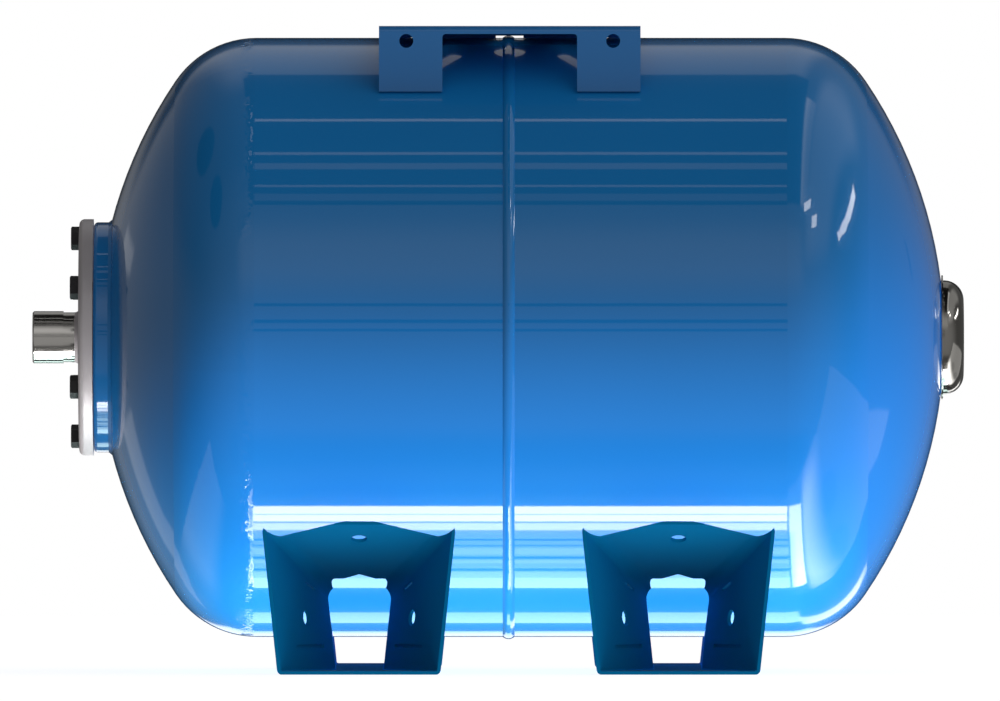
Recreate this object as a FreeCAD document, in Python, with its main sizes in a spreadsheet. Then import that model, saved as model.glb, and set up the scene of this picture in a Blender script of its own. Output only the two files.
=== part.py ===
"""Horizontal well pressure tank of the 50 litre size, 380 mm in diameter.

Frame: X along the vessel from the water end to the valve end, Z up, Z = 0 on the floor, X = 0 midway
between the feet, Y = 0 on the vessel's middle plane. Millimetres and degrees.
"""

import FreeCAD, Part
import math
import os
from types import SimpleNamespace

import Sketcher
from FreeCAD import Placement, Rotation, Vector

DOC = FreeCAD.newDocument("pressure_tank")
SHEET = DOC.addObject("Spreadsheet::Sheet", "Sizes")

SIZES = {
    # vessel: two pressed halves with dished heads
    "floor_clearance": 22.0,
    "shell_radius": 190.0,
    "shell_wall": 1.4,
    "crown_radius": 290.0,
    "knuckle_radius": 62.0,
    "inlet_tangent": -166.2,
    "valve_tangent": 168.9,
    "seam_x": -6.3,
    "seam_gap": 0.4,
    "lip_length": 9.0,
    "lip_clearance": 0.1,
    "joggle_angle": 45.0,
    "bead_width": 7.5,
    "bead_rise": 1.4,
    "seat_gap": 0.05,
    # neck collar with its tapped holes
    "collar_proud": 1.6,
    "collar_radius": 73.0,
    "collar_bore": 50.0,
    "collar_corner": 2.5,
    "collar_weld_leg": 1.6,
    # bladder
    "bag_wall": 2.0,
    "bag_lip_thick": 2.0,
    "bag_lip_radius": 56.0,
    "bag_neck_gap": 0.7,
    "bag_radius": 105.0,
    "bag_shoulder": 30.0,
    "bag_shoulder_x": -180.0,
    "bag_end_x": 60.0,
    # inlet flange, nipple and bolts
    "flange_radius": 75.0,
    "flange_thick": 9.0,
    "flange_standoff": 0.4,
    "flange_corner": 3.5,
    "recess_gap": 0.5,
    "nipple_thread_radius": 16.62,
    "nipple_thread_length": 19.6,
    "nipple_neck_radius": 15.85,
    "nipple_length": 29.7,
    "nipple_bore": 12.5,
    "nipple_chamfer": 1.0,
    "nipple_weld_leg": 3.0,
    "bolt_circle": 125.5,
    "bolt_count": 6,
    "bolt_radius": 3.95,
    "bolt_flats": 13.0,
    "bolt_head": 5.3,
    "bolt_length": 16.0,
    "bolt_chamfer": 0.8,
    "bolt_hole_radius": 4.5,
    "tapped_radius": 4.0,
    "tapped_depth": 7.3,
    # air valve in its boss
    "boss_radius": 13.0,
    "boss_inside": 15.0,
    "boss_proud": 1.4,
    "boss_weld_leg": 1.2,
    "valve_thread_radius": 5.85,
    "valve_thread_gap": 0.05,
    "valve_inside": 12.0,
    "valve_flats": 14.0,
    "valve_hex": 2.2,
    "gasket_thick": 0.5,
    "stem_radius": 3.85,
    "stem_length": 4.3,
    "chamber_radius": 2.6,
    "throat_radius": 1.8,
    "core_seat": 3.6,
    "core_length": 10.4,
    "core_step": 3.0,
    "core_bore": 1.3,
    "pin_radius": 0.65,
    "pin_gap": 0.07,
    "pin_head_radius": 1.0,
    "pin_head": 1.0,
    "pin_proud": 0.4,
    "plug_radius": 1.5,
    "plug_thick": 1.0,
    "pin_seal_thick": 1.0,
    "cap_radius": 5.2,
    "cap_bore": 3.95,
    "cap_length": 6.1,
    "cap_gap": 0.2,
    "cap_top": 1.0,
    "cap_seal_radius": 3.8,
    "cap_seal_thick": 0.8,
    # polished dome over the valve
    "cover_rise": 12.1,
    "cover_face_radius": 23.8,
    "cover_radius": 36.15,
    "cover_rim_radius": 39.35,
    "cover_rim_proud": -1.1,
    "cover_sheet": 0.8,
    "ring_thick": 1.0,
    "ring_gap": 0.15,
    "ring_top": 1.0,
    # feet: pressed saddles, flared towards both ends
    "foot_pitch": 200.8,
    "foot_sheet": 2.2,
    "sole_trim": 0.1,
    "rim_half_width": 51.2,
    "rim_bend": 7.0,
    "flare_length": 85.0,
    "flare_rise": 38.4,
    "throat_half_width": 17.1,
    "throat_lap": 4.35,
    "throat_bend": 11.2,
    "waist_run": 20.0,
    "waist_lift": 2.3,
    "foot_bottom_bend": 3.4,
    "wall_lean": 6.0,
    "nose_half_width": 9.5,
    "valley_half_width": 49.2,
    "valley_drop": 9.5,
    "horn_drop": 2.9,
    "horn_curve": 16.0,
    "roof_half_width": 15.8,
    "roof_rise": 4.6,
    "eave_drop": 4.5,
    "floor_hole_radius": 5.0,
    "floor_hole_inset": 20.0,
    "side_hole_radius": 4.95,
    "side_hole_inset": 48.8,
    "side_hole_height": 35.3,
    "vent_outer_inset": 54.0,
    "vent_outer_drop": 38.9,
    "vent_inner_inset": 67.0,
    "vent_inner_drop": 44.0,
    "vent_width": 1.7,
    "groove_outer_inset": 28.0,
    "groove_inner_inset": 71.0,
    "groove_height": 17.3,
    "groove_width": 2.4,
    "groove_depth": 1.1,
    "foot_weld_start": 2.0,
    "foot_weld_end": 9.5,
    # bracket that carries the pump
    "bracket_x": -5.6,
    "bracket_length": 165.0,
    "bracket_sheet": 2.5,
    "bracket_bend": 4.0,
    "bracket_standoff": 6.4,
    "bracket_half_depth": 112.5,
    "cutout_width": 85.0,
    "cutout_drop": 5.1,
    "cutout_corner": 2.3,
    "notch_width": 17.6,
    "notch_drop": 3.9,
    "bracket_hole_radius": 4.4,
    "bracket_hole_drop": 9.5,
    "front_hole_pitch": 130.5,
    "rear_hole_pitch": 124.5,
    "access_hole_radius": 10.0,
    "access_hole_y": 40.0,
    "slot_inner_x": 34.0,
    "slot_inner_y": 47.0,
    "slot_outer_x": 60.0,
    "slot_outer_y": 83.0,
    "slot_half_width": 4.5,
    "bracket_weld_leg": 4.5,
}


class Size:
    """A number together with the sheet formula that gives it, so that a sum is written only once."""

    def __init__(self, number, formula=None):
        self.number = float(number)
        self.formula = formula or repr(float(number))

    def join(self, other, sign, number):
        return Size(number, f"({self.formula} {sign} {other.formula})")

    def __add__(self, other):
        other = as_size(other)
        return self.join(other, "+", self.number + other.number)

    def __sub__(self, other):
        other = as_size(other)
        return self.join(other, "-", self.number - other.number)

    def __mul__(self, other):
        other = as_size(other)
        return self.join(other, "*", self.number * other.number)

    def __truediv__(self, other):
        other = as_size(other)
        return self.join(other, "/", self.number / other.number)

    def __radd__(self, other):
        return as_size(other) + self

    def __rsub__(self, other):
        return as_size(other) - self

    def __rmul__(self, other):
        return as_size(other) * self

    def __neg__(self):
        return Size(-self.number, f"(0 - {self.formula})")


def as_size(value):
    return value if isinstance(value, Size) else Size(value)


def root(value):
    return Size(math.sqrt(value.number), f"sqrt({value.formula})")


def sine(angle):
    return Size(math.sin(math.radians(angle.number)), f"sin({angle.formula})")


def cosine(angle):
    return Size(math.cos(math.radians(angle.number)), f"cos({angle.formula})")


def tangent(angle):
    return Size(math.tan(math.radians(angle.number)), f"tan({angle.formula})")


for row, (alias, value) in enumerate(SIZES.items(), start=1):
    SHEET.set(f"A{row}", alias)
    SHEET.set(f"B{row}", str(value))
    SHEET.setAlias(f"B{row}", alias)
DOC.recompute()
s = SimpleNamespace(**{alias: Size(value, f"Sizes.{alias}") for alias, value in SIZES.items()})

NODES = []
START, END, CENTRE = range(1, 4)  # how a sketch numbers the points of a line or an arc
ROOT_POINT, X_AXIS, Y_AXIS = (-1, 1), -1, -2


# Sketches and features


def new_body(label, x=None, z=None):
    """A body whose place in X and Z comes from the sheet."""
    body = DOC.addObject("PartDesign::Body", label)
    body.Label = label
    for axis, place in (("x", x), ("z", z)):
        if place is not None:
            body.setExpression(f"Placement.Base.{axis}", place.formula)
    NODES.append(body)
    return body


def origin_feature(body, role):
    return [f for f in body.Origin.OriginFeatures if f.Role == role][0]


def new_sketch(body, name, plane, lift=None):
    """A sketch on one of the body's own planes, lifted along the plane's normal."""
    sketch = body.newObject("Sketcher::SketchObject", f"{body.Label}_{name}")
    sketch.AttachmentSupport = (origin_feature(body, plane), [""])
    sketch.MapMode = "FlatFace"
    if lift is not None:
        sketch.setExpression("AttachmentOffset.Base.z", lift.formula)
    return sketch


def place_point(sketch, geometry, position, x, y):
    """Holds one point of the sketch at sheet-driven coordinates."""
    for kind, value, axis in (("DistanceX", x, Y_AXIS), ("DistanceY", y, X_AXIS)):
        value = as_size(value)
        if value.number == 0 and "Sizes" not in value.formula:
            sketch.addConstraint(Sketcher.Constraint("PointOnObject", geometry, position, axis))
            continue
        rule = Sketcher.Constraint(kind, *ROOT_POINT, geometry, position, value.number)
        drive(sketch, sketch.addConstraint(rule), value)


def drive(sketch, index, value):
    name = f"size_{index}"
    sketch.renameConstraint(index, name)
    sketch.setExpression(f"Constraints.{name}", value.formula)


def outline(sketch, corners):
    """Draws a closed outline. A corner is (x, y), or (x, y, radius) where an arc leads to the next one:
    a positive radius turns left, a negative one turns right."""
    first = sketch.GeometryCount
    ends = []
    for corner, following in zip(corners, corners[1:] + corners[:1]):
        a = Vector(as_size(corner[0]).number, as_size(corner[1]).number, 0)
        b = Vector(as_size(following[0]).number, as_size(following[1]).number, 0)
        if len(corner) == 2:
            sketch.addGeometry(Part.LineSegment(a, b))
            ends.append((START, END))
            continue
        radius = as_size(corner[2])
        left = 1 if radius.number > 0 else -1
        size = abs(radius.number)
        half = (b - a) * 0.5
        reach = math.sqrt(max(size * size - half.Length * half.Length, 0.0))
        centre = a + half + Vector(-half.y, half.x, 0).normalize() * (left * reach)
        angles = [math.atan2(p.y - centre.y, p.x - centre.x) for p in (a, b)][::left]
        circle = Part.Circle(centre, Vector(0, 0, 1), size)
        edge = sketch.addGeometry(Part.ArcOfCircle(circle, *angles))
        drive(sketch, sketch.addConstraint(Sketcher.Constraint("Radius", edge, size)), radius * left)
        ends.append((START, END) if left > 0 else (END, START))
    count = len(corners)
    for i in range(count):
        j = (i + 1) % count
        sketch.addConstraint(
            Sketcher.Constraint("Coincident", first + i, ends[i][1], first + j, ends[j][0])
        )
        place_point(sketch, first + i, ends[i][0], corners[i][0], corners[i][1])
    return sketch


def circle(sketch, x, y, radius):
    centre = Vector(as_size(x).number, as_size(y).number, 0)
    edge = sketch.addGeometry(Part.Circle(centre, Vector(0, 0, 1), radius.number))
    drive(sketch, sketch.addConstraint(Sketcher.Constraint("Radius", edge, radius.number)), radius)
    place_point(sketch, edge, CENTRE, x, y)
    return sketch


def hexagon(sketch, flats):
    """Corners of a hexagon across its flats, a flat at each side."""
    corner = flats / root(as_size(3))
    half = corner / 2
    outline(
        sketch,
        [(flats / 2, -half), (flats / 2, half), (0, corner), (-flats / 2, half), (-flats / 2, -half), (0, -corner)],
    )
    return sketch


def feature(body, kind, sketch, length=None, **options):
    made = body.newObject(f"PartDesign::{kind}", f"{sketch.Name}_{kind.lower()}")
    made.Profile = sketch
    if length is not None:
        made.setExpression("Length", length.formula)
    for name, value in options.items():
        setattr(made, name, value)
    sketch.Visibility = False
    return made


def turned(label, corners, height=None, x=None):
    """A piece turned about the X axis of its body from a section of (x, radius) corners."""
    body = new_body(label, x=x, z=height if height is not None else axis_height)
    section = outline(new_sketch(body, "section", "XZ_Plane"), corners)
    feature(body, "Revolution", section, ReferenceAxis=(section, ["H_Axis"]), Angle=360.0)
    return body


def ring_of_holes(body, name, x, radius, depth, into_plus_x):
    """A hole at the top of the bolt circle, repeated round the axis."""
    sketch = circle(new_sketch(body, name, "YZ_Plane", x), 0, s.bolt_circle / 2, radius)
    hole = feature(body, "Pocket", sketch, depth, Reversed=into_plus_x)
    ring = body.newObject("PartDesign::PolarPattern", f"{name}_ring")
    ring.Originals = [hole]
    ring.Axis = (origin_feature(body, "X_Axis"), [""])
    ring.Angle = 360.0
    ring.setExpression("Occurrences", s.bolt_count.formula)
    body.Tip = ring


# Vessel geometry shared by the pieces that touch it

WATER, VALVE = -1, 1
axis_height = s.floor_clearance + s.shell_radius
# distance from the knuckle's tangent plane back to the crown's centre
crown_back = root(
    (s.crown_radius - s.knuckle_radius) * (s.crown_radius - s.knuckle_radius)
    - (s.shell_radius - s.knuckle_radius) * (s.shell_radius - s.knuckle_radius)
)


def dish_x(end, radius, offset=0):
    """X of the dish at a radius from the axis, on a surface that stands off the outside by offset."""
    start = s.inlet_tangent if end == WATER else s.valve_tangent
    sphere = s.crown_radius + offset
    return start + end * (root(sphere * sphere - radius * radius) - crown_back)


def knuckle_point(end, offset=0):
    """Where knuckle and crown meet."""
    start = s.inlet_tangent if end == WATER else s.valve_tangent
    share = (s.crown_radius + offset) / (s.crown_radius - s.knuckle_radius)
    return start + end * (share * crown_back - crown_back), share * (s.shell_radius - s.knuckle_radius)


inlet_apex = s.inlet_tangent - (s.crown_radius - crown_back)
valve_apex = s.valve_tangent + (s.crown_radius - crown_back)
inner_radius = s.shell_radius - s.shell_wall
boss_hole = s.boss_radius + s.seat_gap


def inlet_end_shell():
    """Left half: dish with the neck hole, straight wall, and a lip joggled under the other half."""
    lip_out = inner_radius - s.lip_clearance
    lip_in = lip_out - s.shell_wall
    run = (s.shell_wall + s.lip_clearance) / tangent(s.joggle_angle)
    lag = s.shell_wall * tangent(s.joggle_angle / 2)
    start = s.seam_x - run
    end = s.seam_x + s.lip_length
    wall = -s.shell_wall
    turned(
        "inlet_end_shell",
        [
            (dish_x(WATER, s.collar_bore), s.collar_bore, -s.crown_radius),
            (*knuckle_point(WATER), -s.knuckle_radius),
            (s.inlet_tangent, s.shell_radius),
            (start, s.shell_radius),
            (s.seam_x, lip_out),
            (end, lip_out),
            (end, lip_in),
            (s.seam_x - lag, lip_in),
            (start - lag, inner_radius),
            (s.inlet_tangent, inner_radius, s.knuckle_radius - s.shell_wall),
            (*knuckle_point(WATER, wall), s.crown_radius - s.shell_wall),
            (dish_x(WATER, s.collar_bore, wall), s.collar_bore),
        ],
    )


def valve_end_shell():
    """Right half: straight wall from the seam, and the dish with the hole for the boss."""
    start = s.seam_x + s.seam_gap
    wall = -s.shell_wall
    turned(
        "valve_end_shell",
        [
            (start, s.shell_radius),
            (s.valve_tangent, s.shell_radius, -s.knuckle_radius),
            (*knuckle_point(VALVE), -s.crown_radius),
            (dish_x(VALVE, boss_hole), boss_hole),
            (dish_x(VALVE, boss_hole, wall), boss_hole, s.crown_radius - s.shell_wall),
            (*knuckle_point(VALVE, wall), s.knuckle_radius - s.shell_wall),
            (s.valve_tangent, inner_radius),
            (start, inner_radius),
        ],
    )


def girth_weld():
    """Crowned bead over the seam."""
    half = s.bead_width / 2
    crown = (half * half + s.bead_rise * s.bead_rise) / (2 * s.bead_rise)
    foot = s.shell_radius + s.seat_gap
    turned("girth_weld", [(s.seam_x - half, foot, -crown), (s.seam_x + half, foot)])


# Water end

collar_face = inlet_apex - s.collar_proud
lip_face = collar_face - s.bag_lip_thick
flange_inner = collar_face - s.flange_standoff
flange_outer = flange_inner - s.flange_thick


def neck_collar():
    """Ring on the dish, its back following the dish, with blind tapped holes."""
    body = turned(
        "neck_collar",
        [
            (collar_face, s.collar_bore),
            (collar_face, s.collar_radius - s.collar_corner, -s.collar_corner),
            (collar_face + s.collar_corner, s.collar_radius),
            (dish_x(WATER, s.collar_radius, s.seat_gap), s.collar_radius, s.crown_radius + s.seat_gap),
            (dish_x(WATER, s.collar_bore, s.seat_gap), s.collar_bore),
        ],
    )
    ring_of_holes(body, "tapped_hole", collar_face, s.tapped_radius, s.tapped_depth, True)


def fillet_weld(label, end, radius, leg):
    """Bead in the corner between the dish and a ring of the given radius."""
    inside = radius + s.seat_gap
    outside = inside + leg
    on_dish = dish_x(end, inside, s.seat_gap)
    turned(
        label,
        [
            (on_dish + end * leg, inside),
            (dish_x(end, outside, s.seat_gap), outside, -end * (s.crown_radius + s.seat_gap)),
            (on_dish, inside),
        ],
    )


def bladder():
    """Moulded bag: lip under the flange, neck through the collar, shoulder, body and round end."""
    slant = Size(45)
    neck = s.collar_bore - s.bag_neck_gap
    mouth = neck - s.bag_wall
    inside = s.bag_radius - s.bag_wall
    shoulder_in = s.bag_shoulder - s.bag_wall
    tip = s.bag_end_x + s.bag_radius

    def shoulder(radius, bend):
        """Start of the shoulder's arc on the cone, and where that cone meets the neck."""
        x = s.bag_shoulder_x - bend * sine(slant)
        r = s.bag_radius - s.bag_shoulder + bend * cosine(slant)
        return (x, r), (x - (r - radius), radius)

    outer_arc, outer_neck = shoulder(neck, s.bag_shoulder)
    inner_arc, inner_neck = shoulder(mouth, shoulder_in)
    turned(
        "bladder",
        [
            (lip_face, mouth),
            (lip_face, s.bag_lip_radius),
            (collar_face - s.seat_gap, s.bag_lip_radius),
            (collar_face - s.seat_gap, neck),
            outer_neck,
            (*outer_arc, -s.bag_shoulder),
            (s.bag_shoulder_x, s.bag_radius),
            (s.bag_end_x, s.bag_radius, -s.bag_radius),
            (tip, 0),
            (tip - s.bag_wall, 0, inside),
            (s.bag_end_x, inside),
            (s.bag_shoulder_x, inside, shoulder_in),
            inner_arc,
            inner_neck,
        ],
    )


def inlet_flange():
    """Disc with a rounded outer edge, a recess for the bag's lip and clearance holes for the bolts."""
    recess = s.bag_lip_radius + s.recess_gap
    bore = s.nipple_neck_radius + s.seat_gap
    body = turned(
        "inlet_flange",
        [
            (flange_outer, bore),
            (flange_outer, s.flange_radius - s.flange_corner, -s.flange_corner),
            (flange_outer + s.flange_corner, s.flange_radius),
            (flange_inner, s.flange_radius),
            (flange_inner, recess),
            (lip_face, recess),
            (lip_face, bore),
        ],
    )
    ring_of_holes(body, "bolt_hole", flange_outer, s.bolt_hole_radius, s.flange_thick, True)


def inlet_nipple():
    """Male water connection: thread size at the tip, then the plain neck through the flange."""
    tip = flange_outer - s.nipple_length
    thread_end = tip + s.nipple_thread_length
    turned(
        "inlet_nipple",
        [
            (tip, s.nipple_bore),
            (tip, s.nipple_thread_radius - s.nipple_chamfer),
            (tip + s.nipple_chamfer, s.nipple_thread_radius),
            (thread_end, s.nipple_thread_radius),
            (thread_end, s.nipple_neck_radius),
            (lip_face, s.nipple_neck_radius),
            (lip_face, s.nipple_bore),
        ],
    )


def nipple_weld():
    """Concave weld at the root of the nipple."""
    inside = s.nipple_neck_radius + s.seat_gap
    seat = flange_outer - s.seat_gap
    turned(
        "nipple_weld",
        [
            (seat - s.nipple_weld_leg, inside, s.nipple_weld_leg),
            (seat, inside + s.nipple_weld_leg),
            (seat, inside),
        ],
    )


def flange_bolts():
    """Six hexagon bolts, the first one at the top of the bolt circle."""
    bolt = turned(
        "flange_bolt",
        [
            (-s.bolt_head / 2, 0),
            (-s.bolt_head / 2, s.bolt_radius),
            (s.bolt_length - s.bolt_chamfer, s.bolt_radius),
            (s.bolt_length, s.bolt_radius - s.bolt_chamfer),
            (s.bolt_length, 0),
        ],
        height=Size(0),
    )
    NODES.remove(bolt)
    head = hexagon(new_sketch(bolt, "hexagon", "YZ_Plane"), s.bolt_flats)
    feature(bolt, "Pad", head, s.bolt_head, Reversed=True)
    corner = s.bolt_flats / root(as_size(3))
    rim = s.bolt_flats / 2
    bevel = (corner - rim) / 2
    corner_cut = outline(
        new_sketch(bolt, "corner_cut", "XZ_Plane"),
        [(-s.bolt_head, rim), (-s.bolt_head + bevel, corner), (-s.bolt_head, corner)],
    )
    feature(bolt, "Groove", corner_cut, ReferenceAxis=(corner_cut, ["H_Axis"]), Angle=360.0)
    copies = []
    for number in range(SIZES["bolt_count"]):
        turn = Size(number) * 360 / s.bolt_count
        copy = DOC.addObject("App::Link", f"bolt_{number + 1}")
        copy.LinkedObject = bolt
        copy.LinkTransform = False
        reach = s.bolt_circle / 2
        for axis, place in (
            ("x", flange_outer - s.seat_gap),
            ("y", -reach * sine(turn)),
            ("z", axis_height + reach * cosine(turn)),
        ):
            copy.setExpression(f"Placement.Base.{axis}", place.formula)
        copies.append(copy)
    group = DOC.addObject("Part::Compound", "flange_bolts")
    group.Links = copies
    NODES.append(group)


# Valve end

boss_face = valve_apex + s.boss_proud
hex_seat = boss_face + s.gasket_thick
hex_top = hex_seat + s.valve_hex
stem_top = hex_top + s.stem_length
core_low = valve_apex - s.core_seat + s.seat_gap


def valve_boss():
    """Bush welded in the dish, tapped for the air valve."""
    back = valve_apex - s.boss_inside
    bore = s.valve_thread_radius + s.valve_thread_gap
    turned(
        "valve_boss",
        [(back, bore), (boss_face, bore), (boss_face, s.boss_radius), (back, s.boss_radius)],
    )


def valve_gasket():
    bore = s.valve_thread_radius + s.valve_thread_gap
    rim = s.valve_flats / 2
    turned(
        "valve_gasket",
        [(boss_face, bore), (hex_seat, bore), (hex_seat, rim), (boss_face, rim)],
    )


def air_valve_body():
    """Brass valve: threaded shank, hexagon and stem, bored for the core."""
    back = valve_apex - s.valve_inside
    seat = valve_apex - s.core_seat
    step = s.chamber_radius - s.throat_radius
    body = turned(
        "air_valve_body",
        [
            (back, s.throat_radius),
            (seat - step, s.throat_radius),
            (seat, s.chamber_radius),
            (stem_top, s.chamber_radius),
            (stem_top, s.stem_radius),
            (hex_seat + s.valve_hex / 2, s.stem_radius),
            (hex_seat + s.valve_hex / 2, s.valve_thread_radius),
            (back, s.valve_thread_radius),
        ],
    )
    hexagon_sketch = hexagon(new_sketch(body, "hexagon", "YZ_Plane", hex_seat), s.valve_flats)
    circle(hexagon_sketch, 0, 0, s.chamber_radius)
    feature(body, "Pad", hexagon_sketch, s.valve_hex)


def valve_core():
    """Barrel of the core, wide at the top for the pin's head."""
    top = core_low + s.core_length
    step = core_low + s.core_step
    rim = s.chamber_radius - s.seat_gap
    guide = s.pin_radius + s.pin_gap
    turned(
        "valve_core",
        [
            (core_low, guide),
            (step, guide),
            (step, s.core_bore),
            (top, s.core_bore),
            (top, rim),
            (core_low, rim),
        ],
    )


plug_top = core_low - s.seat_gap - s.pin_seal_thick


def valve_pin():
    """Pin of the core: plug below its seal, and the head that is pressed."""
    top = core_low + s.core_length + s.pin_proud
    head = top - s.pin_head
    turned(
        "valve_pin",
        [
            (plug_top - s.plug_thick, 0),
            (plug_top - s.plug_thick, s.plug_radius),
            (plug_top, s.plug_radius),
            (plug_top, s.pin_radius),
            (head, s.pin_radius),
            (head, s.pin_head_radius),
            (top, s.pin_head_radius),
            (top, 0),
        ],
    )


def pin_seal():
    """Rubber ring between the plug and the barrel."""
    bore = s.pin_radius + s.pin_gap / 2
    top = plug_top + s.pin_seal_thick
    turned(
        "pin_seal",
        [(plug_top, bore), (top, bore), (top, s.plug_radius), (plug_top, s.plug_radius)],
    )


cap_low = hex_top + s.cap_gap
cap_high = cap_low + s.cap_length


def valve_cap():
    """Dust cap over the stem."""
    ceiling = cap_high - s.cap_top
    turned(
        "valve_cap",
        [
            (cap_low, s.cap_bore),
            (ceiling, s.cap_bore),
            (ceiling, 0),
            (cap_high, 0),
            (cap_high, s.cap_radius - s.cap_top / 2),
            (cap_high - s.cap_top / 2, s.cap_radius),
            (cap_low, s.cap_radius),
        ],
    )


def cap_seal():
    """Rubber disc in the cap."""
    ceiling = cap_high - s.cap_top
    floor = ceiling - s.cap_seal_thick
    turned(
        "cap_seal",
        [(floor, 0), (ceiling, 0), (ceiling, s.cap_seal_radius), (floor, s.cap_seal_radius)],
    )


def valve_cover():
    """Polished dome: flat face, quarter-round shoulder, short wall and a flat rim."""
    face = valve_apex + s.cover_rise
    inner_face = face - s.cover_sheet
    rim_top = valve_apex + s.cover_rim_proud
    rim_low = rim_top - s.cover_sheet
    shoulder = s.cover_radius - s.cover_face_radius
    wall = s.cover_radius - s.cover_sheet
    spring = face - shoulder
    turned(
        "valve_cover",
        [
            (face, 0),
            (face, s.cover_face_radius, shoulder),
            (spring, s.cover_radius),
            (rim_top, s.cover_radius),
            (rim_top, s.cover_rim_radius),
            (rim_low, s.cover_rim_radius),
            (rim_low, wall),
            (spring, wall, s.cover_sheet - shoulder),
            (inner_face, s.cover_face_radius),
            (inner_face, 0),
        ],
    )


def cover_ring():
    """Ring on the dish that the dome snaps over."""
    outside = s.cover_radius - s.cover_sheet - s.ring_gap
    inside = outside - s.ring_thick
    top = valve_apex + s.ring_top
    turned(
        "cover_ring",
        [
            (top, inside),
            (top, outside),
            (dish_x(VALVE, outside, s.seat_gap), outside, -(s.crown_radius + s.seat_gap)),
            (dish_x(VALVE, inside, s.seat_gap), inside),
        ],
    )


# Feet: as deep as the vessel, their throat a lap above the shell's underside

rim_y = s.shell_radius
throat_y = rim_y - s.flare_length
waist_y = throat_y - s.waist_run
throat_top = axis_height - root(s.shell_radius * s.shell_radius - throat_y * throat_y) + s.throat_lap
rim_top = throat_top + s.flare_rise
roof_height = throat_top + s.roof_rise


def saddle_section(body, name, y, half_width, top, bend, floor, inset):
    """Rounded trapezoid across the foot; inset by the sheet it gives the hollow inside.
    A wall stands at half_width on the floor line and leans outwards."""
    lean = tangent(s.wall_lean)
    low = floor + inset
    high = top - inset
    wall = half_width - inset / cosine(s.wall_lean)
    upper = bend - inset
    lower = s.foot_bottom_bend - inset
    upper_run = upper / tangent((90 - s.wall_lean) / 2)
    lower_run = lower / tangent((90 + s.wall_lean) / 2)
    low_corner = wall + low * lean
    high_corner = wall + high * lean
    right = [
        (low_corner - lower_run, low, lower),
        (low_corner + lower_run * sine(s.wall_lean), low + lower_run * cosine(s.wall_lean)),
        (high_corner - upper_run * sine(s.wall_lean), high - upper_run * cosine(s.wall_lean), upper),
        (high_corner - upper_run, high),
    ]
    left = [
        (-right[3][0], right[3][1], upper),
        (-right[2][0], right[2][1]),
        (-right[1][0], right[1][1], lower),
        (-right[0][0], right[0][1]),
    ]
    return outline(new_sketch(body, name, "XZ_Plane", y), right + left)


def saddle_loft(body, name, kind, inset):
    """Straight-ruled loft from rim to throat to waist, and out again to the other rim."""
    stations = [
        (rim_y, s.rim_half_width, rim_top, s.rim_bend, -s.sole_trim),
        (throat_y, s.throat_half_width, throat_top, s.throat_bend, -s.sole_trim),
        (waist_y, s.throat_half_width, throat_top, s.throat_bend, s.waist_lift),
    ]
    stations += [(-y, *rest) for y, *rest in reversed(stations)]
    sections = [
        saddle_section(body, f"{name}_{number}", *station, inset)
        for number, station in enumerate(stations)
    ]
    feature(body, kind, sections[0], Sections=sections[1:], Ruled=True)


def wall_grooves(body, end):
    """One tapering slab across the hollow of an end, a little wider than it: a groove in both walls."""
    slope = (s.rim_half_width - s.throat_half_width) / s.flare_length
    inner_face = s.rim_half_width - s.foot_sheet / cosine(s.wall_lean) + s.groove_height * tangent(s.wall_lean)
    low = s.groove_height - s.groove_width / 2
    sections = []
    for inset in (s.groove_outer_inset, s.groove_inner_inset):
        half = inner_face - inset * slope + s.groove_depth
        high = low + s.groove_width
        name = f"{'rear' if end > 0 else 'front'}_groove_{len(sections)}"
        sketch = new_sketch(body, name, "XZ_Plane", end * (inset - rim_y))
        sections.append(outline(sketch, [(-half, low), (half, low), (half, high), (-half, high)]))
    feature(body, "SubtractiveLoft", sections[0], Sections=sections[1:], Ruled=True)


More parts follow.
